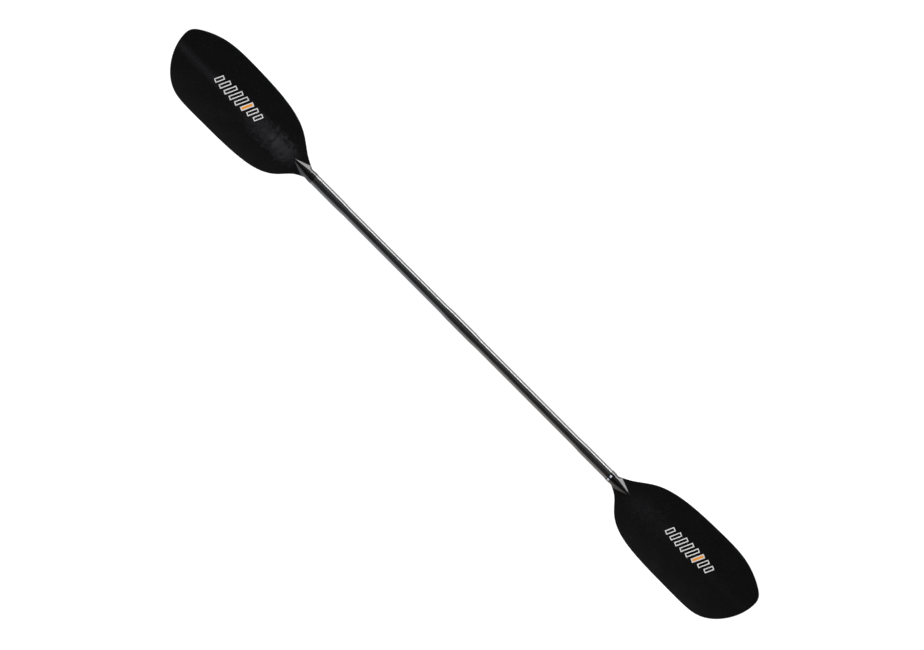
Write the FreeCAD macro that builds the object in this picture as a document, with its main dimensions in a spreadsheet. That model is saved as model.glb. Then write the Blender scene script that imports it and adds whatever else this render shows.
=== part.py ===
import FreeCAD, Part
import math
import os
import re
import Sketcher

# Double-bladed kayak paddle with one straight shaft and two spooned blades.
# +X runs along the shaft to the right blade, +Y lies across the blades towards their longer
# edges, and +Z is the way the power faces look. The origin is on the shaft's axis at its middle.

SIZES = [
    # overall
    ("shaft_length", 1046.0, "tube from end to end, which is from blade neck to blade neck"),
    ("blade_length", 462.0, "blade from its shoulder on the tube to its tip"),
    ("blade_width", 190.0, "blade across its widest part"),
    # shaft
    ("shaft_diameter", 29.0, "outside diameter of the round tube"),
    ("shaft_wall", 1.8, "wall of the tube"),
    ("grip_narrowing", 2.0, "how much narrower than round the tube is under the hands"),
    ("centre_length", 70.0, "round stretch in the middle of the shaft"),
    ("grip_length", 330.0, "oval stretch under each hand"),
    ("grip_blend", 30.0, "stretch over which round turns to oval"),
    # blade
    ("neck_diameter", 28.2, "round neck where the blade meets the tube"),
    ("neck_length", 12.0, "round neck, from the joint to where the spine starts to taper"),
    ("neck_chamfer", 0.5, "chamfer on the shoulder at the joint"),
    ("shoulder_step", 0.4, "how much smaller than the tube the shoulder is, on the radius"),
    ("shoulder_length", 2.0, "shoulder that meets the end of the tube"),
    ("neck_rounding", 40.0, "rounding where the neck turns into the spear"),
    ("blade_rise", 32.0, "how far the tip curves forwards of the shaft's axis"),
    ("blade_scoop", 7.0, "how far the blade's edges stand forwards of its middle"),
    ("blade_thickness", 5.0, "blade at its middle line"),
    ("edge_thickness", 2.6, "blade at its edges"),
    ("edge_rounding", 1.0, "rounding of the blade's rim"),
    ("spear_length", 62.0, "spear-shaped root of the spine on the power face, from the joint"),
    ("rib_length", 330.0, "tapered rib on the back, from the joint to its end inside the blade"),
    ("rib_inset", 0.2, "how much smaller than the neck the rib's thick end is, on the radius"),
    ("plug_length", 85.0, "plug that goes inside the tube"),
    ("plug_bore", 13.0, "cored hole in the plug"),
    ("plug_lead", 1.5, "taper on the plug's end"),
    # pieces on and in the tube
    ("bond_gap", 0.25, "adhesive between the plug and the tube's bore, on the radius"),
    ("bond_length", 75.0, "stretch of the plug that the adhesive covers"),
    ("bung_length", 30.0, "foam bung beyond the plug"),
    ("bung_gap", 6.0, "space between the plug and the bung"),
    ("band_length", 12.5, "band round the end of the tube"),
    ("band_thickness", 0.5, "wall of the band"),
    ("patch_thickness", 0.12, "printed patch on the band"),
    ("patch_length", 5.5, "printed patch along the shaft"),
    ("patch_angle", 23.0, "angle that a patch covers round the band"),
    ("patch_pitch", 41.0, "angle from one patch to the next"),
    # printed mark on the power face: a row of slanted bars
    ("mark_distance", 257.0, "row's middle from the joint"),
    ("mark_offset", 9.0, "row's middle above the blade's middle line"),
    ("mark_thickness", 0.12, "film that the mark is printed on"),
    ("bar_pitch", 19.0, "from one bar of the row to the next"),
    ("bar_width", 11.0, "bar across"),
    ("bar_height", 22.0, "shortest bar"),
    ("bar_growth", 14.0, "how much longer the longest bar is"),
    ("bar_outline", 2.5, "width of the printed line round a bar"),
    ("bar_slant", 24.0, "lean of the bars from the blade's width"),
]

SPARE = 1.1        # how many times wider and longer than the blade its swept solids are

# Sizes that follow from those above.
DERIVED = [
    ("tube_half", "shaft_length / 2"),
    ("tube_radius", "shaft_diameter / 2"),
    ("bore_radius", "tube_radius - shaft_wall"),
    ("neck_radius", "neck_diameter / 2"),
    ("shoulder_radius", "tube_radius - shoulder_step"),
    ("plug_radius", "bore_radius - bond_gap"),
    ("band_radius", "tube_radius + band_thickness"),
    ("oval_start", "centre_length / 2 + grip_blend"),
    ("oval_end", "oval_start + grip_length"),
    ("round_start", "oval_end + grip_blend"),
    ("half_width", "blade_width / 2"),
    ("half_thickness", "blade_thickness / 2"),
    ("sweep_radius", "(blade_length ^ 2 + blade_rise ^ 2) / (2 * blade_rise)"),
    ("sweep_angle", "asin(blade_length / sweep_radius)"),
    ("profile_half", f"half_width * {SPARE}"),
    ("face_radius", "(half_width ^ 2 + blade_scoop ^ 2) / (2 * blade_scoop)"),
    ("back_scoop", "blade_scoop + half_thickness + half_thickness - edge_thickness"),
    ("back_radius", "(half_width ^ 2 + back_scoop ^ 2) / (2 * back_scoop)"),
    ("rib_rise", "sweep_radius - sqrt(sweep_radius ^ 2 - rib_length ^ 2)"),
    ("rib_run", "rib_length - neck_length / 2"),
    ("clearing", "blade_rise + blade_scoop + shaft_diameter"),
]

# Control points of the blade's outline, as shares of the blade's length from the joint and of
# half its width. The upper edge is the longer one and ends in the tighter corner.
UPPER_EDGE = [
    (0.010, 0.13), (0.022, 0.165), (0.080, 0.275), (0.178, 0.68), (0.285, 0.87),
    (0.420, 0.965), (0.610, 0.995), (0.815, 0.995), (0.965, 0.65), (1.0, 0.48), (1.0, 0.30),
]
LOWER_EDGE = [
    (0.010, -0.13), (0.022, -0.165), (0.075, -0.25), (0.130, -0.645), (0.235, -0.925),
    (0.420, -1.01), (0.610, -1.01), (0.730, -1.02), (0.890, -0.955), (1.0, -0.15), (1.0, 0.30),
]
EDGE_DEGREE = 3

BAR_COUNT = 8      # bars in the printed mark
ACCENT_BAR = 5     # which of them, counted from 0 at the left, is filled with the accent colour
OVERRUN = 1.0      # how far a cutting solid runs past the face that it cuts

ORIGIN = FreeCAD.Vector(0, 0, 0)
X_AXIS = FreeCAD.Vector(1, 0, 0)
Y_AXIS = FreeCAD.Vector(0, 1, 0)
Z_AXIS = FreeCAD.Vector(0, 0, 1)
ALONG_X = FreeCAD.Rotation(Y_AXIS, 90)
ACROSS_SHAFT = FreeCAD.Rotation(Z_AXIS, Y_AXIS * -1, X_AXIS, "ZXY")
FACING_X = FreeCAD.Rotation(Y_AXIS, Z_AXIS, X_AXIS, "ZXY")

doc = FreeCAD.newDocument("kayak_paddle")
sheet = doc.addObject("Spreadsheet::Sheet", "Sizes")
rows = [(alias, str(value)) for alias, value, meaning in SIZES]
rows += [(alias, "=" + formula) for alias, formula in DERIVED]
for number, (alias, content) in enumerate(rows, start=1):
    sheet.set(f"A{number}", alias.replace("_", " "))
    sheet.set(f"B{number}", content)
    sheet.setAlias(f"B{number}", alias)
doc.recompute()

ALIASES = re.compile(r"\b(" + "|".join(alias for alias, content in rows) + r")\b")


def size(alias):
    """Present value of a size in the sheet."""
    return float(getattr(sheet, alias))


def measure(formula):
    """Present value of a formula of the sheet's sizes."""
    return float(sheet.evalExpression(ALIASES.sub(r"Sizes.\1", formula)))


def bind(item, **formulas):
    """Bind properties to formulas of the sheet's sizes. Base_x stands for Placement.Base.x."""
    for name, formula in formulas.items():
        path = name.replace("Base_", ".Placement.Base.")
        item.setExpression(path, ALIASES.sub(r"Sizes.\1", formula))


def add(kind, name, rotation=FreeCAD.Rotation(), **formulas):
    """A new object of the document, turned and bound to the sheet."""
    item = doc.addObject(kind, name)
    item.Placement = FreeCAD.Placement(ORIGIN, rotation)
    bind(item, **formulas)
    return item


def bar(name, radius, start, length):
    """Round bar along +X."""
    return add("Part::Cylinder", name, ALONG_X, Radius=radius, Height=length, Base_x=start)


def taper(name, first_radius, last_radius, start, length):
    """Round taper along +X."""
    return add("Part::Cone", name, ALONG_X, Radius1=first_radius, Radius2=last_radius,
               Height=length, Base_x=start)


def fuse(name, shapes):
    """Several objects joined into one."""
    joined = doc.addObject("Part::MultiFuse", name)
    joined.Shapes = shapes
    joined.Refine = True
    return joined


def cut(name, base, tool):
    """One object with another taken out of it."""
    result = doc.addObject("Part::Cut", name)
    result.Base = base
    result.Tool = tool
    return result


def common(name, base, tool):
    """What two objects share."""
    result = doc.addObject("Part::Common", name)
    result.Base = base
    result.Tool = tool
    return result


def mirror(name, source):
    """The same object on the other side of the shaft's middle."""
    result = doc.addObject("Part::Mirroring", name)
    result.Source = source
    result.Base = ORIGIN
    result.Normal = X_AXIS
    return result


def ring(name, inner, outer, start, length):
    """Sleeve along +X."""
    core = bar(name + "_core", inner, f"{start} - {OVERRUN}", f"{length} + {2 * OVERRUN}")
    return cut(name, bar(name + "_outside", outer, start, length), core)


# --- shaft ---------------------------------------------------------------------------------

def section(name, place, inset, narrowing):
    """Closed line round the shaft at one place; the narrowing is across the blades only."""
    return add("Part::Ellipse", name, ACROSS_SHAFT, MajorRadius=f"tube_radius - {inset}",
               MinorRadius=f"tube_radius - {inset} - {narrowing}", Base_x=place)


def shaft_form(name, inset, overrun):
    """The shaft's solid form: round, oval under the hands, and round again."""
    reach = f"tube_half + {overrun} - round_start"
    pieces = [bar(name + "_middle", f"tube_radius - {inset}", "-centre_length / 2",
                  "centre_length")]
    for side, sign, end_start in (("left", "-", f"-(tube_half + {overrun})"),
                                  ("right", "", "round_start")):
        stations = [("centre_length / 2", "0"), ("oval_start", "grip_narrowing / 2"),
                    ("oval_end", "grip_narrowing / 2"), ("round_start", "0")]
        grip = doc.addObject("Part::Loft", f"{name}_{side}_grip")
        grip.Sections = [section(f"{name}_{side}_line{number}", f"{sign}({place})", inset, narrow)
                         for number, (place, narrow) in enumerate(stations)]
        grip.Solid = True
        grip.Ruled = True
        pieces += [grip, bar(f"{name}_{side}_end", f"tube_radius - {inset}", end_start, reach)]
    return fuse(name, pieces)


bore_form = shaft_form("shaft_bore", "shaft_wall", OVERRUN)
plug_form = shaft_form("plug_space", "(shaft_wall + bond_gap)", OVERRUN)
shaft_tube = cut("shaft_tube", shaft_form("shaft_outside", "0", 0), bore_form)


# --- blade ---------------------------------------------------------------------------------

def edge_curve(sketch, controls):
    """One edge of the blade's outline, whose control points follow the blade's size."""
    points = [FreeCAD.Vector(along * size("blade_length"), across * size("half_width"), 0)
              for along, across in controls]
    curve = Part.BSplineCurve(points, None, None, False, EDGE_DEGREE, None, False)
    edge = sketch.addGeometry(curve, False)
    for number, (along, across) in enumerate(controls):
        handle = sketch.addGeometry(Part.Circle(points[number], Z_AXIS, 1.0), True)
        sketch.addConstraint(Sketcher.Constraint("InternalAlignment:Sketcher::BSplineControlPoint",
                                                 handle, 3, edge, number))
        for kind, share, whole in (("DistanceX", along, "blade_length"),
                                   ("DistanceY", across, "half_width")):
            value = share * size(whole)
            place = sketch.addConstraint(Sketcher.Constraint(kind, -1, 1, handle, 3, value))
            bind(sketch, **{f"Constraints[{place}]": f"{whole} * {share}"})
    return edge


def outline_body():
    """Upright solid with the blade's outline, tall enough to hold the curved blade."""
    body = doc.addObject("PartDesign::Body", "blade_outline")
    bind(body, Base_x="tube_half", Base_z="-clearing")
    sketch = body.newObject("Sketcher::SketchObject", "blade_outline_sketch")
    plane = next(item for item in body.Origin.OriginFeatures if item.Role == "XY_Plane")
    sketch.AttachmentSupport = (plane, [""])
    sketch.MapMode = "FlatFace"
    upper = edge_curve(sketch, UPPER_EDGE)
    lower = edge_curve(sketch, LOWER_EDGE)
    root = sketch.addGeometry(Part.LineSegment(sketch.Geometry[upper].StartPoint,
                                               sketch.Geometry[lower].StartPoint), False)
    sketch.addConstraint(Sketcher.Constraint("Coincident", root, 1, upper, 1))
    sketch.addConstraint(Sketcher.Constraint("Coincident", root, 2, lower, 1))
    doc.recompute()
    pad = body.newObject("PartDesign::Pad", "blade_outline_pad")
    pad.Profile = sketch
    bind(pad, Length="clearing * 2")
    return body


def profile(name, lower, upper):
    """Closed section across the blade at the joint, between two lines.

    A line is its height in the middle and its radius, or its height alone if it is straight.
    """
    sketch = add("Sketcher::SketchObject", name, FACING_X, Base_x="tube_half")
    half = size("profile_half")
    corners = []
    for height, radius in (lower, upper):
        middle = measure(height)
        if radius is None:
            end_height = height
            shape = Part.LineSegment(FreeCAD.Vector(-half, middle, 0),
                                     FreeCAD.Vector(half, middle, 0))
        else:
            end_height = f"{height} + {radius} - sqrt(({radius}) ^ 2 - profile_half ^ 2)"
            reach = math.asin(half / measure(radius))
            circle = Part.Circle(FreeCAD.Vector(0, middle + measure(radius), 0), Z_AXIS,
                                 measure(radius))
            shape = Part.ArcOfCircle(circle, -math.pi / 2 - reach, -math.pi / 2 + reach)
        line = sketch.addGeometry(shape, False)
        for end, sign in ((1, "-"), (2, "")):
            for kind, formula in (("DistanceX", f"{sign}profile_half"),
                                  ("DistanceY", end_height)):
                place = sketch.addConstraint(Sketcher.Constraint(kind, -1, 1, line, end,
                                                                 measure(formula)))
                bind(sketch, **{f"Constraints[{place}]": formula})
        if radius is not None:
            place = sketch.addConstraint(Sketcher.Constraint("Radius", line, measure(radius)))
            bind(sketch, **{f"Constraints[{place}]": radius})
        corners.append(line)
    for end in (1, 2):
        points = [sketch.getPoint(line, end) for line in corners]
        side = sketch.addGeometry(Part.LineSegment(*points), False)
        for side_end, line in zip((1, 2), corners):
            sketch.addConstraint(Sketcher.Constraint("Coincident", side, side_end, line, end))
    return sketch


def swept(name, lower, upper):
    """Solid between two lines across the blade, swept from the joint past the tip.

    The sweep turns about an axis far in front of the power face, so the blade curves forwards.
    """
    solid = doc.addObject("Part::Revolution", name)
    solid.Source = profile(name + "_profile", lower, upper)
    solid.Axis = Y_AXIS
    solid.Solid = True
    bind(solid, **{"Base.x": "tube_half", "Base.z": "sweep_radius",
                   "Angle": f"-(sweep_angle * {SPARE})"})
    return solid


def rounded_plate(plate):
    """The blade's plate with its rim rounded, apart from the hidden root inside the neck."""
    rounded = doc.addObject("Part::Fillet", "blade_plate_rounded")
    rounded.Base = plate
    root = size("tube_half") + size("blade_length") * UPPER_EDGE[0][0]
    radius = size("edge_rounding")
    edges = []
    for number, edge in enumerate(plate.Shape.Edges, start=1):
        upright = abs(edge.tangentAt(edge.FirstParameter).z) > 0.9
        at_root = edge.BoundBox.XMax < root + 0.1
        if not upright and not at_root:
            edges.append((number, radius, radius))
    rounded.Edges = edges
    return rounded


def spindle_body():
    """Round core of the blade: shoulder, neck, and the spear that runs out on the power face."""
    body = doc.addObject("PartDesign::Body", "blade_spindle")
    bind(body, Base_x="tube_half")
    sketch = body.newObject("Sketcher::SketchObject", "blade_spindle_sketch")
    plane = next(item for item in body.Origin.OriginFeatures if item.Role == "XY_Plane")
    sketch.AttachmentSupport = (plane, [""])
    sketch.MapMode = "FlatFace"
    outline = [
        ("0", "0"), ("0", "shoulder_radius - neck_chamfer"), ("neck_chamfer", "shoulder_radius"),
        ("shoulder_length", "shoulder_radius"), ("neck_length / 2", "neck_radius"),
        ("neck_length", "neck_radius"), ("spear_length", "half_thickness"), ("spear_length", "0"),
    ]
    corners = [FreeCAD.Vector(measure(along), measure(out), 0) for along, out in outline]
    lines = [sketch.addGeometry(Part.LineSegment(first, last), False)
             for first, last in zip(corners, corners[1:] + corners[:1])]
    for number, (along, out) in enumerate(outline):
        sketch.addConstraint(Sketcher.Constraint("Coincident", lines[number - 1], 2,
                                                 lines[number], 1))
        for kind, formula in (("DistanceX", along), ("DistanceY", out)):
            place = sketch.addConstraint(Sketcher.Constraint(kind, -1, 1, lines[number], 1,
                                                             measure(formula)))
            bind(sketch, **{f"Constraints[{place}]": formula})
    doc.recompute()
    turned = body.newObject("PartDesign::Revolution", "blade_spindle_turned")
    turned.Profile = sketch
    turned.ReferenceAxis = (sketch, ["H_Axis"])
    turned.Angle = 360
    doc.recompute()
    shoulder = [f"Edge{number}" for number, edge in enumerate(turned.Shape.Edges, start=1)
                if edge.BoundBox.XLength < 0.01
                and abs(edge.BoundBox.XMin - size("neck_length")) < 0.01]
    rounding = body.newObject("PartDesign::Fillet", "blade_spindle_rounding")
    rounding.Base = (turned, shoulder)
    bind(rounding, Radius="neck_rounding")
    body.Tip = rounding
    return body


FACE_LINE = ("half_thickness", "face_radius")
BACK_LINE = ("-half_thickness", "back_radius")
FILM_LINE = ("half_thickness + mark_thickness", "face_radius - mark_thickness")

plate = common("blade_plate", outline_body(), swept("blade_sweep", BACK_LINE, FACE_LINE))
doc.recompute()
rib = taper("back_rib_taper", "neck_radius - rib_inset", "half_thickness",
            "tube_half + neck_length / 2", "rib_run")
rib_tilt = math.degrees(math.atan2(size("rib_rise"), size("rib_run")))
rib.Placement.Rotation = FreeCAD.Rotation(Y_AXIS, -rib_tilt) * ALONG_X
back_rib = cut("back_rib", rib, swept("front_space", FACE_LINE, ("clearing", None)))
plug = fuse("plug_outside", [
    taper("plug_end", "plug_radius - plug_lead", "plug_radius", "tube_half - plug_length",
          "plug_lead"),
    bar("plug_bar", "plug_radius", "tube_half - plug_length + plug_lead",
        f"plug_length - plug_lead + {OVERRUN}"),
])
moulding = fuse("blade_moulding", [rounded_plate(plate), back_rib, spindle_body(),
                                   common("plug", plug, plug_form)])
cored_hole = bar("cored_hole", "plug_bore / 2", f"tube_half - plug_length - {OVERRUN}",
                 f"plug_length + {OVERRUN}")
right_blade = cut("right_blade", moulding, cored_hole)
left_blade = mirror("left_blade", right_blade)


# --- pieces in and on the ends of the tube --------------------------------------------------

def end_pieces(side, sign):
    """Adhesive, bung and band at one end of the tube."""
    def start(distance, length):
        """Where a piece starts whose outer end is that distance inside the tube's end."""
        inner = f"tube_half - ({distance}) - {length}"
        return inner if sign > 0 else f"-({inner} + {length})"

    sleeve = common(f"{side}_sleeve", bore_form,
                    bar(f"{side}_sleeve_bar", "tube_radius", start("0", "bond_length"),
                        "bond_length"))
    bond = cut(f"{side}_bond", sleeve, plug_form)
    foam = bar(f"{side}_foam", "bore_radius", start("plug_length + bung_gap", "bung_length"),
               "bung_length")
    bung = common(f"{side}_foam_bung", foam, bore_form)
    band = ring(f"{side}_end_band", "tube_radius", "band_radius", start("0", "band_length"),
                "band_length")
    return [bond, bung, band]


def band_patch(number):
    """Printed patch on the right band; the first one faces forwards."""
    patch = ring(f"band_patch{number}", "band_radius", "band_radius + patch_thickness",
                 "tube_half - (band_length + patch_length) / 2", "patch_length")
    outside = patch.Base
    turn = 180 + number * size("patch_pitch") - size("patch_angle") / 2
    outside.Placement.Rotation = ALONG_X * FreeCAD.Rotation(Z_AXIS, turn)
    bind(outside, Angle="patch_angle")
    return patch


PATCH_COUNT = 2
right_band_marks = fuse("right_band_marks", [band_patch(number) for number in range(PATCH_COUNT)])


# --- printed mark --------------------------------------------------------------------------

def slanted_bar(name, sign, number, inset):
    """Upright solid over one bar of the row; bars are tallest in the middle of the row."""
    place = f"{sign}(tube_half + mark_distance) + {number - (BAR_COUNT - 1) / 2} * bar_pitch"
    share = math.sin(math.pi * (number + 0.5) / BAR_COUNT)
    width = f"(bar_width - 2 * {inset})"
    height = f"(bar_height + bar_growth * {share:.4f} - 2 * {inset})"
    solid = add("Part::Box", name, FreeCAD.Rotation(Z_AXIS, -size("bar_slant")),
                Length=width, Width=height, Height="clearing")
    bind(solid, Base_x=f"{place} - {width} / 2 * cos(bar_slant) - {height} / 2 * sin(bar_slant)",
         Base_y=f"mark_offset + {width} / 2 * sin(bar_slant) - {height} / 2 * cos(bar_slant)")
    return solid


def printed_mark(side, sign, film):
    """Outlined bars in one colour, and the filling of one of them in another."""
    outer = [slanted_bar(f"{side}_bar{n}", sign, n, "0") for n in range(BAR_COUNT)]
    inner = [slanted_bar(f"{side}_bar{n}_inside", sign, n, "bar_outline")
             for n in range(BAR_COUNT)]
    lines = cut(f"{side}_mark_lines", fuse(f"{side}_bars", outer),
                fuse(f"{side}_bar_insides", inner))
    accent = slanted_bar(f"{side}_accent_bar", sign, ACCENT_BAR, "bar_outline")
    return [common(f"{side}_mark", lines, film),
            common(f"{side}_mark_accent", accent, film)]


film = swept("film", FACE_LINE, FILM_LINE)
left_film = mirror("left_film", film)

nodes = [shaft_tube, left_blade, right_blade, right_band_marks]
nodes += end_pieces("left", -1) + end_pieces("right", 1)
nodes += printed_mark("left", "-", left_film) + printed_mark("right", "", film)
doc.recompute()

for item in doc.Objects:
    if "Invalid" in item.State or "Error" in item.State:
        raise RuntimeError(f"{item.Name} did not compute: {item.State}")
os.makedirs("parts", exist_ok=True)
for node in nodes:
    node.Label = node.Name
    if node.Shape.isNull() or not node.Shape.isValid() or not node.Shape.Solids:
        raise RuntimeError(f"{node.Label} has no valid solid")
for node in nodes:
    node.Shape.exportStep(f"parts/{node.Label}.step")
    box = node.Shape.BoundBox
    print(f"{node.Label:18s} solids {len(node.Shape.Solids):2d}  volume {node.Shape.Volume:10.1f}"
          f"  x {box.XMin:8.2f} {box.XMax:8.2f}  y {box.YMin:7.2f} {box.YMax:7.2f}"
          f"  z {box.ZMin:7.2f} {box.ZMax:7.2f}")
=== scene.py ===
import math

import bpy
import numpy as np
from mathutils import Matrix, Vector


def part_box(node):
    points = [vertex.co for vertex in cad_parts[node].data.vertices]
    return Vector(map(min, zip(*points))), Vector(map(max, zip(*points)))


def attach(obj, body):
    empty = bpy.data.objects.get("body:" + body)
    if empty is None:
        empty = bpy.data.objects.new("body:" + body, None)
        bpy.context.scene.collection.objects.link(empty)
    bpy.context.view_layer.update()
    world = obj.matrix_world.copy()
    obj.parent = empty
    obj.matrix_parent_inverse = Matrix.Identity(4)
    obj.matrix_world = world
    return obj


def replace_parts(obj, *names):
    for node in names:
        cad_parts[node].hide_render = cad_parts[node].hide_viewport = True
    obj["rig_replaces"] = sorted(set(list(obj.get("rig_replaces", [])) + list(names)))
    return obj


# Double-bladed kayak paddle. +X runs along the shaft to the right blade, +Y to the blades'
# longer edges, and +Z is the way the power faces look. Lengths are metres.

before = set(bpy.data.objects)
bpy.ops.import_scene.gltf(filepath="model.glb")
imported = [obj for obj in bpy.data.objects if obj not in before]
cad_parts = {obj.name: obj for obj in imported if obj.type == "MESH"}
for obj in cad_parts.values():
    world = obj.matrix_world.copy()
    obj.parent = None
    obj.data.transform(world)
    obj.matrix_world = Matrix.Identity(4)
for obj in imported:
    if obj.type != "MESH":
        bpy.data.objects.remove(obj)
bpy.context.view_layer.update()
MM = 0.001


# --- sizes: the frame's where it has them, the rest by name --------------------------------

def corner(node, high, axis):
    """One coordinate of a node's box at rest."""
    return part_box(node)[1 if high else 0]["xyz".index(axis)]


BOND_GAP = 0.25 * MM
TUBE_HALF = corner("shaft_tube", True, "x")
TUBE_RADIUS = corner("shaft_tube", True, "z")
TIP = corner("right_blade", True, "x")
BLADE_LENGTH = TIP - TUBE_HALF
PLUG_START = corner("right_blade", False, "x")
PLUG_RADIUS = corner("right_foam_bung", True, "z") - BOND_GAP
PLUG_BORE = 6.5 * MM
BAND_LENGTH = TUBE_HALF - corner("right_end_band", False, "x")
BAND_RADIUS = corner("right_end_band", True, "z")
PATCH_START = corner("right_band_marks", False, "x")
PATCH_END = corner("right_band_marks", True, "x")
FLOOR = min(corner("shaft_tube", False, "z"), corner("right_end_band", False, "z"))

TUBE_WALL = 1.8 * MM
GRIP_NARROWING = 1.0 * MM            # on the radius, across the blades only
OVAL_START = 65 * MM
OVAL_END = 395 * MM
GRIP_BLEND = 30 * MM

HALF_WIDTH = 95 * MM
NECK_RADIUS = 14.1 * MM
NECK_LENGTH = 12 * MM
SPEAR_LENGTH = 62 * MM
SPEAR_ROUNDING = 5 * MM
RIB_START = 6 * MM
RIB_LENGTH = 330 * MM
RIB_INSET = 0.2 * MM
BLADE_RISE = 32 * MM
BLADE_SCOOP = 7 * MM
HALF_THICKNESS = 2.5 * MM
EDGE_THICKNESS = 2.6 * MM
RIM_ROUNDING = 1.3 * MM
RIB_LIFT = 16.3 * MM                 # how far the rib's axis rises over its length
ROOT = 0.5 * MM                      # the chamfer at the joint ends here
PLUG_LEAD = 1.5 * MM
FLANK = math.radians(39)             # tilt of the flat flanks beside the spear's round ridge
FLANK_START = 3 * MM                 # the flanks grow out of the round neck from here
FLANK_REACH = 9 * MM
FLANK_RISE = 1.0 * MM                # height of the flanks over the blade's middle at its rim
FLANK_SLOPE = 1.6                    # and how fast they may rise away from the rim
SHARP = 0.02 * MM                    # fillets at the joint, where the neck has to stay round
FACE_FILLET = 0.8 * MM
BACK_FILLET = 1.5 * MM
FILLET_START = 9 * MM
FACE_FILLET_REACH = 9 * MM
BACK_FILLET_REACH = 25 * MM
CORE_SINK = 60 * MM                  # how deep the spear's core sinks past its end, behind
RIB_SINK = 12 * MM                   # how deep the rib sinks past SINK_START
SINK_START = 250 * MM
SINK_REACH = 200 * MM
NOWHERE = -1.0                       # a height under everything, where a shape does not reach
SWEEP_RADIUS = (BLADE_LENGTH ** 2 + BLADE_RISE ** 2) / (2 * BLADE_RISE)
BACK_SCOOP = BLADE_SCOOP + 2 * HALF_THICKNESS - EDGE_THICKNESS
FACE_RADIUS = (HALF_WIDTH ** 2 + BLADE_SCOOP ** 2) / (2 * BLADE_SCOOP)
BACK_RADIUS = (HALF_WIDTH ** 2 + BACK_SCOOP ** 2) / (2 * BACK_SCOOP)

# Control points of the outline, as shares of the blade's length and of half its width.
UPPER_EDGE = [
    (0.010, 0.13), (0.022, 0.165), (0.080, 0.275), (0.178, 0.68), (0.285, 0.87),
    (0.420, 0.965), (0.610, 0.995), (0.815, 0.995), (0.965, 0.65), (1.0, 0.48), (1.0, 0.30),
]
LOWER_EDGE = [
    (0.010, -0.13), (0.022, -0.165), (0.075, -0.25), (0.130, -0.645), (0.235, -0.925),
    (0.420, -1.01), (0.610, -1.01), (0.730, -1.02), (0.890, -0.955), (1.0, -0.15), (1.0, 0.30),
]
UPPER_CORNER = 0.964                 # share of the blade's length where the tip edge begins
LOWER_CORNER = 0.925
EDGE_POINTS = 260                    # points along each edge
ALONG = 240                          # faces of the blade's skin along it and across it
ACROSS = 150
ROUND = 128                          # points round the tube and its bands
TUBE_CUTS = 208                      # rings of points along the tube

BAR_COUNT = 8
ACCENT_BAR = 5                       # counted from 0 at the left
BAR_PITCH = 19 * MM
BAR_WIDTH = 11 * MM
BAR_HEIGHT = 22 * MM                 # of the shortest bar, nearly
BAR_GROWTH = 14 * MM                 # how much taller the middle bars are
BAR_OUTLINE = 2.5 * MM
BAR_SLANT = math.radians(24)
BAR_CUTS = 7                         # lets the bars follow the curved face
MARK_PLACE = 257 * MM                # the mark's middle, along the blade from the joint
MARK_OFFSET = 9 * MM
FILM = 0.12 * MM

PATCH_PITCH = 41                     # degrees between the patches on the band
PATCH_ANGLE = 23                     # and how many each covers
PATCH_FILM = 0.11 * MM
PATCH_GAP = 0.01 * MM                # keeps the patch's underside off the band's face


# --- small helpers -------------------------------------------------------------------------

def deselect():
    """Nothing selected and no active object."""
    if bpy.context.object and bpy.context.object.mode != "OBJECT":
        bpy.ops.object.mode_set(mode="OBJECT")
    bpy.ops.object.select_all(action="DESELECT")


def only(piece):
    """Selects one object alone."""
    deselect()
    piece.select_set(True)
    bpy.context.view_layer.objects.active = piece


def named(name):
    """The object just added, with its name, its place moved into its mesh."""
    piece = bpy.context.object
    piece.name = name
    piece.data.name = name
    bpy.ops.object.transform_apply(location=True, rotation=True, scale=True)
    return piece


def points_of(piece):
    """The mesh's points as an array."""
    flat = np.empty(len(piece.data.vertices) * 3)
    piece.data.vertices.foreach_get("co", flat)
    return flat.reshape(-1, 3)


def move_points(piece, points):
    """Writes the mesh's points back."""
    piece.data.vertices.foreach_set("co", np.ascontiguousarray(points).ravel())
    piece.data.update()


def edit(piece, action):
    """Runs an action in edit mode with the whole mesh selected."""
    only(piece)
    bpy.ops.object.mode_set(mode="EDIT")
    bpy.ops.mesh.select_all(action="SELECT")
    action()
    bpy.ops.object.mode_set(mode="OBJECT")


def joined(pieces, name):
    """Several objects made into one."""
    deselect()
    for piece in pieces:
        piece.select_set(True)
    bpy.context.view_layer.objects.active = pieces[0]
    bpy.ops.object.join()
    bpy.context.object.name = name
    return bpy.context.object


def add_modifier(piece, kind, **settings):
    """Adds a modifier with its settings and applies it."""
    modifier = piece.modifiers.new(kind.title(), kind)
    for name, value in settings.items():
        setattr(modifier, name, value)
    only(piece)
    bpy.ops.object.modifier_apply(modifier=modifier.name)


def smooth(piece, angle=35):
    """Smooth shading with edges sharper than the angle kept."""
    only(piece)
    bpy.ops.object.shade_smooth_by_angle(angle=math.radians(angle))


def pick_faces(piece, wanted):
    """Selects the faces whose centre and normal pass the test, ready for edit mode."""
    only(piece)
    bpy.ops.object.mode_set(mode="EDIT")
    bpy.ops.mesh.select_mode(type="FACE")
    bpy.ops.mesh.select_all(action="DESELECT")
    bpy.ops.object.mode_set(mode="OBJECT")
    for face in piece.data.polygons:
        face.select = wanted(face.center, face.normal)
    bpy.ops.object.mode_set(mode="EDIT")


def finished(piece, body, slot, material, *stands_for):
    """Gives a piece its material, its body and the CAD nodes that it stands for; slot is not used.
    """
    piece.data.materials.clear()
    piece.data.materials.append(material)
    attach(piece, body)
    if stands_for:
        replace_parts(piece, *stands_for)
    return piece


# --- the blade's surfaces ------------------------------------------------------------------

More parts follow.
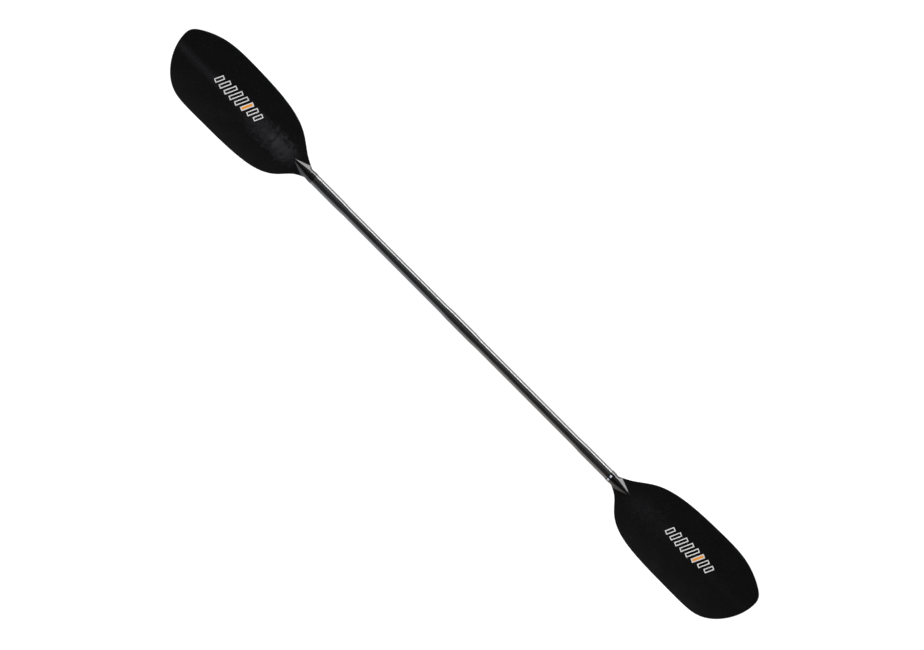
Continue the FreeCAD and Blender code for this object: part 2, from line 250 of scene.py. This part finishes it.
def edge_points(controls, count):
    """Points along a clamped uniform cubic B-spline, by de Boor's rule."""
    poles = np.array(controls) * [BLADE_LENGTH, HALF_WIDTH]
    spans = len(poles) - 3
    knots = np.concatenate([[0] * 3, np.arange(spans + 1), [spans] * 3]).astype(float)
    points = []
    for place in np.linspace(0, spans, count):
        span = min(int(place), spans - 1) + 3
        ring = [poles[span - 3 + step].copy() for step in range(4)]
        for level in range(1, 4):
            for step in range(3, level - 1, -1):
                low = knots[span - 3 + step]
                share = (place - low) / (knots[span + 1 + step - level] - low)
                ring[step] = (1 - share) * ring[step - 1] + share * ring[step]
        points.append(ring[3])
    return np.array(points)


def swept_height(along, across, middle, radius):
    """Height of a line across the blade, swept forwards along it."""
    profile = middle + radius - np.sqrt(radius ** 2 - across ** 2)
    return SWEEP_RADIUS - np.sqrt((SWEEP_RADIUS - profile) ** 2 - along ** 2)


def face_height(along, across):
    """Height of the power face."""
    return swept_height(along, across, HALF_THICKNESS, FACE_RADIUS)


def back_height(along, across):
    """Height of the plain back, without its rib."""
    return swept_height(along, across, -HALF_THICKNESS, BACK_RADIUS)


def softened_max(first, second, reach):
    """The higher of two heights, with a fillet of about the given reach where they meet."""
    share = np.clip(0.5 + (first - second) / (2 * reach), 0, 1)
    return second + (first - second) * share + reach * share * (1 - share)


def spear_radius(along):
    """Radius of the round spine: the neck, then a straight taper, with a soft start."""
    slope = (NECK_RADIUS - HALF_THICKNESS) / (SPEAR_LENGTH - NECK_LENGTH)
    past = along - NECK_LENGTH
    blend = np.clip((past + SPEAR_ROUNDING) / (2 * SPEAR_ROUNDING), 0, 1)
    soft = slope * SPEAR_ROUNDING * blend ** 2
    drop = np.where(past > SPEAR_ROUNDING, slope * past, soft)
    return np.maximum(NECK_RADIUS - drop, 0.1 * MM)


def flanked(across, radius):
    """Height of a round ridge that runs out in flat flanks along its tangents."""
    ridge = np.sqrt(np.clip(radius ** 2 - across ** 2, 0, None))
    flank = radius / math.cos(FLANK) - np.abs(across) * math.tan(FLANK)
    return np.where(np.abs(across) < radius * math.sin(FLANK), ridge, flank)


def dome(across, radius):
    """Height of a round bar over its axis, falling away steeply beside it."""
    inside = np.sqrt(np.clip(radius ** 2 - across ** 2, 0, None))
    beside = -(np.abs(across) - radius) * 3
    return np.where(np.abs(across) < radius, inside, beside)


def ease(share):
    """Smooth step from 0 to 1."""
    share = np.clip(share, 0, 1)
    return share * share * (3 - 2 * share)


def distance_to(points, line):
    """Least distance in plan from each point to a line of points."""
    nearest = np.full(len(points), 1.0)
    for start, end in zip(line[:-1], line[1:]):
        run = end - start
        share = np.clip((points - start) @ run / max(run @ run, 1e-15), 0, 1)
        away = points - start - share[:, None] * run
        nearest = np.minimum(nearest, np.hypot(away[:, 0], away[:, 1]))
    return nearest


def along_line(line, shares):
    """Points on a line at shares of its length."""
    reach = np.concatenate([[0], np.cumsum(np.hypot(*np.diff(line, axis=0).T))])
    return np.stack([np.interp(shares * reach[-1], reach, line[:, axis]) for axis in (0, 1)], 1)


def blade_skin(along, across):
    """Top and bottom heights and plan places of the skin, for shares along and across it."""
    upper = edge_points(UPPER_EDGE, EDGE_POINTS)
    lower = edge_points(LOWER_EDGE, EDGE_POINTS)
    upper_end = UPPER_CORNER * BLADE_LENGTH
    lower_end = LOWER_CORNER * BLADE_LENGTH
    tip_edge = np.concatenate([lower[lower[:, 0] > lower_end],
                               upper[upper[:, 0] > upper_end][::-1][1:]])
    tip = along_line(tip_edge, across)
    low_end, high_end = tip_edge[0], tip_edge[-1]
    place = ROOT + along * (tip[:, 0] - ROOT)
    low_side = np.interp(along * low_end[0], lower[:, 0], lower[:, 1])
    low_side = np.minimum(low_side, -NECK_RADIUS)
    high_side = np.interp(along * high_end[0], upper[:, 0], upper[:, 1])
    high_side = np.maximum(high_side, NECK_RADIUS)
    sides = (1 - across) * low_side + across * high_side
    bulge = tip[:, 1] - (1 - across) * low_end[1] - across * high_end[1]
    width = sides + along * bulge
    plan = np.stack([place, width], 1)

    rim = distance_to(plan, np.concatenate([lower, upper[::-1]]))
    beyond = np.interp(place, upper[:, 0], upper[:, 1])
    rim = np.where((place < NECK_LENGTH) & (width > beyond), 0, rim)
    on_edge = (across < 1e-9) | (across > 1 - 1e-9) | (along > 1 - 1e-9)
    rim = np.where(on_edge, 0, rim)

    face, back = face_height(place, width), back_height(place, width)
    middle = (face + back) / 2
    roundness = np.sqrt(1 - (1 - np.clip(rim / RIM_ROUNDING, 0, 1)) ** 2)
    thick = (face - back) / 2 * roundness
    core = dome(width, spear_radius(place))
    flank_share = ease((place - FLANK_START) / FLANK_REACH)
    flank = np.minimum(flanked(width, spear_radius(place)),
                       middle + FLANK_RISE + FLANK_SLOPE * rim)
    spear = core + (np.maximum(flank, core) - core) * flank_share
    soft = SHARP + FACE_FILLET * ease((place - FILLET_START) / FACE_FILLET_REACH)
    top = softened_max(middle + thick, spear, soft)

    taper = (NECK_RADIUS - RIB_INSET - HALF_THICKNESS) / (RIB_LENGTH - RIB_START)
    rib_radius = NECK_RADIUS - RIB_INSET - taper * (place - RIB_START)
    rib_axis = RIB_LIFT * (place - RIB_START) / (RIB_LENGTH - RIB_START)
    sunk = RIB_SINK * ease((place - SINK_START) / SINK_REACH)
    rib = dome(width, np.maximum(rib_radius, MM)) - rib_axis - sunk
    rib = np.where(place > RIB_START, rib, NOWHERE)
    core = core - CORE_SINK * ease((place - SPEAR_LENGTH) / SPEAR_LENGTH)
    soft = SHARP + BACK_FILLET * ease((place - FILLET_START) / BACK_FILLET_REACH)
    bottom = -softened_max(thick - middle, np.maximum(core, rib), soft)

    edge_level = middle * ease(place / NECK_LENGTH)
    top = np.where(on_edge, edge_level, np.maximum(top, edge_level))
    bottom = np.where(on_edge, edge_level, np.minimum(bottom, edge_level))
    return plan, top, bottom, rim


# --- materials -----------------------------------------------------------------------------

WEAR_SIZE = 38                       # mm, of the patches of wear
# The feather's barbs and ragged outline give the shape of the painted sheen along the blades'
# spine.
BARB_SIZE = 3.6                      # mm, of the feather's barbs across their run
RAGGED_SIZE = 9                      # mm, of the feather's ragged outline
CHIP_SIZE = 3.5                      # mm, of the chips on the rim


def linear(hex_code):
    """An sRGB hex colour as linear values."""
    parts = [int(hex_code[place:place + 2], 16) / 255 for place in (0, 2, 4)]
    return [part / 12.92 if part <= 0.04045 else ((part + 0.055) / 1.055) ** 2.4
            for part in parts] + [1.0]


def add_node(tree, kind, inputs=None, **settings):
    """Adds a node with its settings, values and links, and returns it."""
    new = tree.nodes.new(kind)
    for name, value in settings.items():
        setattr(new, name, value)
    for name, value in (inputs or {}).items():
        if isinstance(value, bpy.types.NodeSocket):
            tree.links.new(value, new.inputs[name])
        else:
            new.inputs[name].default_value = value
    return new


def noise(tree, place, size_mm, stretch=(1, 1, 1), detail=3.0):
    """Noise whose grain has a real size, longer where the stretch is smaller."""
    scale = [factor / (size_mm * MM) for factor in stretch]
    mapped = add_node(tree, "ShaderNodeMapping", {"Vector": place, "Scale": scale})
    texture = add_node(tree, "ShaderNodeTexNoise",
                       {"Vector": mapped.outputs[0], "Scale": 1.0, "Detail": detail})
    return texture.outputs[0]


def spread(tree, value, low, high, start=0.3, end=0.7):
    """Maps a pattern's range to another."""
    return add_node(tree, "ShaderNodeMapRange",
                    {0: value, 1: start, 2: end, 3: low, 4: high}).outputs[0]


def blended(tree, share, first, second):
    """A colour between two."""
    return add_node(tree, "ShaderNodeMix", {0: share, 6: first, 7: second},
                    data_type="RGBA").outputs[2]


def grained(name, dark, light, grain, rough, relief, stretch=(1, 1, 1), scuff=0.06, **sockets):
    """A material with a fine grain in colour and relief, and wear in patches.

    grain is the size of the grain and relief its depth, in millimetres; rough is the range of
    the roughness, and scuff what wear adds to it. sockets are set on the shader.
    """
    material = bpy.data.materials.new(name)
    material.use_nodes = True
    tree = material.node_tree
    shader = tree.nodes["Principled BSDF"]
    place = add_node(tree, "ShaderNodeTexCoord").outputs["Object"]
    fine = noise(tree, place, grain, stretch)
    patches = noise(tree, place, WEAR_SIZE, detail=4.0)
    colour = blended(tree, spread(tree, fine, 0, 1), linear(dark), linear(light))
    worn = spread(tree, patches, 0, scuff, 0.45, 0.75)
    roughness = add_node(tree, "ShaderNodeMath", {0: spread(tree, fine, *rough), 1: worn},
                         operation="ADD").outputs[0]
    bump = add_node(tree, "ShaderNodeBump", {"Distance": relief * MM, "Height": fine})
    tree.links.new(colour, shader.inputs["Base Color"])
    tree.links.new(roughness, shader.inputs["Roughness"])
    tree.links.new(bump.outputs[0], shader.inputs["Normal"])
    for socket, value in sockets.items():
        shader.inputs[socket.replace("_", " ")].default_value = value
    return material


# Clear-coated pultruded carbon: fibres show as fine grey streaks under a hard gloss.
CARBON = grained("clear_coated_unidirectional_carbon", "09090a", "222224", 0.5, (0.26, 0.38),
                 0.004, stretch=(0.012, 1, 1), Coat_Weight=1.0, Coat_Roughness=0.10,
                 Coat_IOR=1.52)
# Heat-shrunk film: a little glossier than the tube, with faint handling marks.
BAND_FILM = grained("gloss_black_shrink_film", "060607", "0e0e10", 2.2, (0.08, 0.14), 0.01,
                    IOR=1.5)
# Screen print on film: matt, with a slight mottle where the ink is thin.
BAND_INK = grained("pale_screen_printed_ink", "a9b2bf", "d3dae4", 0.6, (0.4, 0.52), 0.006)
LINE_INK = grained("white_screen_printed_ink", "c3c3c4", "f0f0ef", 0.6, (0.38, 0.5), 0.006)
ACCENT_INK = grained("orange_screen_printed_ink", "dd8412", "f59f2a", 0.6, (0.38, 0.5), 0.006)
# Hard adhesive: smooth amber with cloudy filler.
EPOXY = grained("filled_epoxy_adhesive", "8a7448", "b49a63", 1.5, (0.22, 0.34), 0.02)
# Closed-cell foam: chalky, with cells that can be seen.
FOAM = grained("closed_cell_polyethylene_foam", "b9b8b0", "e4e3dc", 1.1, (0.8, 0.92), 0.25)


def product(tree, *values):
    """Multiplies patterns."""
    result = values[0]
    for value in values[1:]:
        result = add_node(tree, "ShaderNodeMath", {0: result, 1: value},
                          operation="MULTIPLY").outputs[0]
    return result


# Glass-filled nylon: near black and glossy from the mould's polish. Along the spine a painted
# sheen, greyer and with a softer gloss, stands in for the light that falls along the middle,
# most on the left blade; the rim is chipped lighter by use.
def moulded_nylon():
    """The blades' material: a painted sheen feathered along the spine, and a rim scuffed lighter.

    The painted sheen's ranges are metres: from the joint outwards, and aside from the shaft's
    line.
    """
    material = grained("gloss_black_glass_filled_nylon", "040405", "0a0a0b", 0.45,
                       (0.20, 0.27), 0.006, scuff=0.05, IOR=1.5)
    tree = material.node_tree
    shader = tree.nodes["Principled BSDF"]
    place = add_node(tree, "ShaderNodeTexCoord").outputs["Object"]
    parts = add_node(tree, "ShaderNodeSeparateXYZ", {0: place})
    length = add_node(tree, "ShaderNodeMath", {0: parts.outputs[0]}, operation="ABSOLUTE")
    forward = add_node(tree, "ShaderNodeMath", {0: length.outputs[0], 1: TUBE_HALF},
                       operation="SUBTRACT").outputs[0]
    aside = add_node(tree, "ShaderNodeMath", {0: parts.outputs[1]},
                     operation="ABSOLUTE").outputs[0]
    barb = add_node(tree, "ShaderNodeMath", {0: forward, 1: aside},
                    operation="SUBTRACT").outputs[0]
    reach = add_node(tree, "ShaderNodeMath", {0: forward, 1: aside},
                     operation="ADD").outputs[0]
    feather = add_node(tree, "ShaderNodeCombineXYZ", {0: barb, 1: reach, 2: 0.0}).outputs[0]
    barbs = noise(tree, feather, BARB_SIZE, stretch=(1, 0.10, 1))
    ragged = noise(tree, place, RAGGED_SIZE)
    edge_of = add_node(tree, "ShaderNodeMath", {0: aside, 1: spread(tree, ragged, -0.012, 0.012)},
                       operation="ADD").outputs[0]
    near = spread(tree, edge_of, 1, 0, 0.004, 0.034)
    # Painted sheen: greyer feathered streaks and a lighter spine near the neck. It is full on the
    # left blade and a fifth as strong on the right, where light falls along the middle.
    sheen_by_blade = spread(tree, parts.outputs[0], 1.0, 0.2, -0.1, 0.1)
    painted_feather_sheen = product(tree, sheen_by_blade, near, spread(tree, forward, 0, 1, 0.045, 0.085),
                   spread(tree, forward, 1, 0, 0.12, 0.26),
                   spread(tree, barbs, 0.25, 1, 0.35, 0.68))
    spine = product(tree, sheen_by_blade, spread(tree, aside, 0.22, 0, 0.001, 0.016),
                    spread(tree, forward, 0, 1, 0.05, 0.12))
    lit = add_node(tree, "ShaderNodeMath", {0: painted_feather_sheen, 1: spine}, operation="MAXIMUM").outputs[0]
    rim = add_node(tree, "ShaderNodeAttribute", attribute_name="rim").outputs["Fac"]
    chips = noise(tree, place, CHIP_SIZE, detail=5.0)
    edge = product(tree, spread(tree, rim, 1, 0, 0.0, 1.6), spread(tree, chips, 0, 0.8, 0.5, 0.62))
    plain = shader.inputs["Base Color"].links[0].from_socket
    # The painted sheen turns the colour towards grey.
    sheened_colour = blended(tree, lit, plain, linear("2c2a2e"))
    tree.links.new(blended(tree, edge, sheened_colour, linear("2e2e31")), shader.inputs["Base Color"])
    gloss = shader.inputs["Roughness"].links[0].from_socket
    softer = add_node(tree, "ShaderNodeMath", {0: spread(tree, lit, 0, 0.16, 0, 1), 1: gloss},
                      operation="ADD").outputs[0]
    tree.links.new(softer, shader.inputs["Roughness"])
    return material


NYLON = moulded_nylon()


# --- pieces --------------------------------------------------------------------------------

def ring_points(piece, level):
    """Selects the ring of points at one place along X, and leaves the piece in edit mode."""
    only(piece)
    bpy.ops.object.mode_set(mode="EDIT")
    bpy.ops.mesh.select_mode(type="VERT")
    bpy.ops.mesh.select_all(action="DESELECT")
    bpy.ops.object.mode_set(mode="OBJECT")
    for point in piece.data.vertices:
        point.select = abs(point.co.x - level) < 1e-6
    bpy.ops.object.mode_set(mode="EDIT")


def drawn_in(steps, radius):
    """Extrudes the selected ring through steps of (move along X, next radius)."""
    for move, next_radius in steps:
        bpy.ops.mesh.extrude_region_move()
        bpy.ops.transform.translate(value=(move, 0, 0))
        bpy.ops.transform.resize(value=(1, next_radius / radius, next_radius / radius),
                                 center_override=(0, 0, 0))
        radius = next_radius


def blade():
    """The right blade: its skin, closed by the plug with its cored hole."""
    halves = []
    for side in ("top", "bottom"):
        deselect()
        bpy.ops.mesh.primitive_grid_add(x_subdivisions=ALONG, y_subdivisions=ACROSS, size=2)
        half = named(f"skin_{side}")
        shares = (1 - np.cos(np.pi * (points_of(half)[:, :2] + 1) / 2)) / 2
        plan, top, bottom, rim = blade_skin(shares[:, 0], shares[:, 1])
        level = top if side == "top" else bottom
        move_points(half, np.stack([TUBE_HALF + plan[:, 0], plan[:, 1], level], 1))
        worn = half.data.attributes.new("rim", "FLOAT", "POINT")
        worn.data.foreach_set("value", np.ascontiguousarray(rim / MM, dtype=np.float32))
        if side == "bottom":
            edit(half, lambda: bpy.ops.mesh.flip_normals())
        halves.append(half)
    skin = joined(halves, "right_blade_moulding")
    edit(skin, lambda: bpy.ops.mesh.remove_doubles(threshold=1e-6))
    ring_points(skin, TUBE_HALF + ROOT)
    drawn_in([(-ROOT, NECK_RADIUS - ROOT), (0, PLUG_RADIUS),
              (PLUG_START + PLUG_LEAD - TUBE_HALF, PLUG_RADIUS),
              (-PLUG_LEAD, PLUG_RADIUS - PLUG_LEAD), (0, PLUG_BORE),
              (TUBE_HALF - PLUG_START, PLUG_BORE)], NECK_RADIUS)
    bpy.ops.mesh.edge_face_add()
    bpy.ops.object.mode_set(mode="OBJECT")
    smooth(skin)
    return skin


def mirrored(piece, name):
    """A copy turned over about the plane x = 0, with its faces outwards again."""
    only(piece)
    bpy.ops.object.duplicate()
    copy = bpy.context.object
    copy.name = name
    bpy.ops.object.mode_set(mode="EDIT")
    bpy.ops.mesh.select_all(action="SELECT")
    bpy.ops.transform.resize(value=(-1, 1, 1), center_override=(0, 0, 0))
    bpy.ops.mesh.normals_make_consistent(inside=False)
    bpy.ops.object.mode_set(mode="OBJECT")
    return copy


def tube():
    """The shaft: a walled tube, narrower across the blades in both grips."""
    deselect()
    bpy.ops.mesh.primitive_cylinder_add(vertices=ROUND, radius=TUBE_RADIUS, depth=2 * TUBE_HALF,
                                        end_fill_type="NOTHING", rotation=(0, math.pi / 2, 0))
    piece = named("shaft_carbon_tube")
    only(piece)
    bpy.ops.object.mode_set(mode="EDIT")
    bpy.ops.mesh.select_mode(type="EDGE")
    bpy.ops.mesh.select_all(action="DESELECT")
    bpy.ops.object.mode_set(mode="OBJECT")
    for edge in piece.data.edges:
        first, second = (piece.data.vertices[place].co for place in edge.vertices)
        edge.select = abs(first.x - second.x) > TUBE_HALF
    bpy.ops.object.mode_set(mode="EDIT")
    bpy.ops.mesh.subdivide(number_cuts=TUBE_CUTS)
    bpy.ops.object.mode_set(mode="OBJECT")
    points = points_of(piece)
    far = np.abs(points[:, 0])
    oval = ease((far - OVAL_START) / GRIP_BLEND + 1) * ease((OVAL_END - far) / GRIP_BLEND + 1)
    points[:, 1] *= 1 - oval * GRIP_NARROWING / TUBE_RADIUS
    move_points(piece, points)
    add_modifier(piece, "SOLIDIFY", thickness=TUBE_WALL, offset=-1)
    add_modifier(piece, "BEVEL", width=0.25 * MM, segments=2, limit_method="ANGLE",
                 angle_limit=math.radians(60))
    smooth(piece)
    return piece


def band(side, sign):
    """Film shrunk over one end of the tube."""
    deselect()
    bpy.ops.mesh.primitive_cylinder_add(
        vertices=ROUND, radius=BAND_RADIUS, depth=BAND_LENGTH, end_fill_type="NOTHING",
        location=(sign * (TUBE_HALF - BAND_LENGTH / 2), 0, 0), rotation=(0, math.pi / 2, 0))
    piece = named(f"{side}_shrink_band")
    add_modifier(piece, "SOLIDIFY", thickness=BAND_RADIUS - TUBE_RADIUS, offset=-1)
    add_modifier(piece, "BEVEL", width=0.15 * MM, segments=3, limit_method="ANGLE",
                 angle_limit=math.radians(60))
    smooth(piece)
    return piece


def band_patches():
    """Two printed patches round the right band."""
    patches = []
    for turn in (0, PATCH_PITCH):
        deselect()
        bpy.ops.mesh.primitive_grid_add(x_subdivisions=6, y_subdivisions=12, size=1)
        patch = named(f"band_patch_{turn}")
        flat = points_of(patch)
        angle = np.radians(turn - PATCH_ANGLE * flat[:, 1])
        reach = BAND_RADIUS + PATCH_GAP
        move_points(patch, np.stack([
            (PATCH_START + PATCH_END) / 2 + flat[:, 0] * (PATCH_END - PATCH_START),
            -reach * np.sin(angle), reach * np.cos(angle)], 1))
        add_modifier(patch, "SOLIDIFY", thickness=PATCH_FILM, offset=1)
        patches.append(patch)
    piece = joined(patches, "right_band_printed_patches")
    smooth(piece)
    return piece


def mark_bar(name, sign, number, filled):
    """One slanted bar of printed film: its outline, or its filling."""
    height = BAR_HEIGHT + BAR_GROWTH * math.sin(math.pi * (number + 0.5) / BAR_COUNT)
    deselect()
    bpy.ops.mesh.primitive_plane_add(size=1)
    piece = named(name)
    points = points_of(piece)
    move_points(piece, points * [BAR_WIDTH, height, 1])
    only(piece)
    bpy.ops.object.mode_set(mode="EDIT")
    bpy.ops.mesh.select_all(action="SELECT")
    bpy.ops.mesh.inset(thickness=BAR_OUTLINE)
    bpy.ops.object.mode_set(mode="OBJECT")
    pick_faces(piece, lambda centre, normal: (centre.length < 0.1 * MM) != filled)
    bpy.ops.mesh.delete(type="FACE")
    bpy.ops.mesh.select_all(action="SELECT")
    bpy.ops.mesh.subdivide(number_cuts=BAR_CUTS)
    bpy.ops.object.mode_set(mode="OBJECT")
    points = points_of(piece)
    centre = sign * (TUBE_HALF + MARK_PLACE) + (number - (BAR_COUNT - 1) / 2) * BAR_PITCH
    across = centre + points[:, 0] * math.cos(BAR_SLANT) + points[:, 1] * math.sin(BAR_SLANT)
    up = MARK_OFFSET - points[:, 0] * math.sin(BAR_SLANT) + points[:, 1] * math.cos(BAR_SLANT)
    level = face_height(np.abs(across) - TUBE_HALF, up)
    move_points(piece, np.stack([across, up, level], 1))
    add_modifier(piece, "SOLIDIFY", thickness=FILM, offset=1)
    return piece


def mark_lines(side, sign):
    """The outlines of all the bars, as one piece."""
    bars = [mark_bar(f"{side}_bar_{number}", sign, number, False) for number in range(BAR_COUNT)]
    piece = joined(bars, f"{side}_printed_lines")
    smooth(piece)
    return piece


finished(tube(), "root", "shaft", CARBON, "shaft_tube")
right = finished(blade(), "root", "right_blade", NYLON, "right_blade")
left = mirrored(right, "left_blade_moulding")
left["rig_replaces"] = []             # the copy came with the right blade's
finished(left, "root", "left_blade", NYLON, "left_blade")
for side, sign in (("left", -1), ("right", 1)):
    finished(band(side, sign), "root", "end_bands", BAND_FILM, f"{side}_end_band")
    finished(mark_lines(side, sign), "root", "mark_lines", LINE_INK, f"{side}_mark")
    accent = mark_bar(f"{side}_printed_accent", sign, ACCENT_BAR, True)
    smooth(accent)
    finished(accent, "root", "mark_accent", ACCENT_INK, f"{side}_mark_accent")
    # What is inside the tube is shown as the CAD's own nodes.
    for node, slot, material in ((f"{side}_bond", "bond", EPOXY),
                                 (f"{side}_foam_bung", "foam", FOAM)):
        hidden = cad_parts[node]
        hidden.data.materials.clear()
        hidden.data.materials.append(material)
finished(band_patches(), "root", "band_marks", BAND_INK, "right_band_marks")


# --- floor, light and camera ---------------------------------------------------------------

# Painted floor, lit from below like a light table, so that it stays white round a dark object.
deselect()
bpy.ops.mesh.primitive_plane_add(size=14, location=(0, 0, FLOOR))
floor = named("floor")
paint = grained("pale_matt_floor_paint", "b8b8b8", "c0c0c0", 6, (0.8, 0.9), 0.02,
                Emission_Color=(1, 1, 1, 1), Emission_Strength=0.80)
floor.data.materials.append(paint)


def softbox(name, place, width, height, power, colour, opening=180):
    """Area light whose long side is parallel to X and that faces the shaft's middle.

    opening is the angle in degrees that its light fills, as a grid on the box would set it.
    """
    lamp = bpy.data.lights.new(name, "AREA")
    lamp.shape = "RECTANGLE"
    lamp.size = width
    lamp.size_y = height
    lamp.energy = power
    lamp.spread = math.radians(opening)
    lamp.color = linear(colour)[:3]
    box = bpy.data.objects.new(name, lamp)
    bpy.context.scene.collection.objects.link(box)
    distance = math.hypot(place[1], place[2])
    tilt = math.copysign(math.acos(place[2] / distance), -place[1])
    box.rotation_euler = (tilt, 0, 0)
    box.location = place
    box.visible_camera = False
    return box


# The strip draws the bright line on the shaft, the low boxes its grey side, and the high box
# the sheen on the blades' lower halves. The fill lights what is matt, without a reflection.
softbox("strip_light", (0, 0.60, 0.142), 2.1, 0.19, 4.3, "ffffff", opening=90)
softbox("cool_light", (-0.525, -0.60, 0.158), 1.05, 0.32, 0.28, "e9eeff", opening=90)
softbox("warm_light", (0.525, -0.60, 0.158), 1.05, 0.32, 0.28, "fff0e0", opening=90)
softbox("high_light", (0, 0.84, 1.83), 3.2, 0.56, 2.7, "ffffff")
softbox("fill_light", (0, -0.6, 2.4), 3.0, 1.5, 40, "ffffff").visible_glossy = False

# Pale near the horizon and dark overhead, so that the flat faces stay black.
world = bpy.data.worlds.new("studio")
bpy.context.scene.world = world
world.use_nodes = True
sky = world.node_tree
direction = add_node(sky, "ShaderNodeTexCoord").outputs["Generated"]
upward = add_node(sky, "ShaderNodeSeparateXYZ", {0: direction}).outputs[2]
strength = spread(sky, upward, 0.9, 0.06, 0.16, 0.50)
sky.links.new(strength, sky.nodes["Background"].inputs["Strength"])
sky.nodes["Background"].inputs["Color"].default_value = (1, 1, 1, 1)

# Straight above the paddle, far off with a long lens, turned so that the shaft runs from the
# upper left to the lower right.
TURN = math.radians(45.07)
VIEW_WIDTH = 2.260104                # metres that the camera takes in at the shaft
LENS = 300
SENSOR = 36
camera_data = bpy.data.cameras.new("camera")
camera_data.lens = LENS
camera_data.sensor_width = SENSOR
camera = bpy.data.objects.new("camera", camera_data)
bpy.context.scene.collection.objects.link(camera)
right_shift, up_shift = 1.0 * MM, 4.6 * MM
camera.location = (right_shift * math.cos(TURN) - up_shift * math.sin(TURN),
                   right_shift * math.sin(TURN) + up_shift * math.cos(TURN),
                   VIEW_WIDTH * LENS / SENSOR)
camera.rotation_euler = (0, 0, TURN)
bpy.context.scene.camera = camera
bpy.context.scene.view_settings.view_transform = "Standard"

deselect()
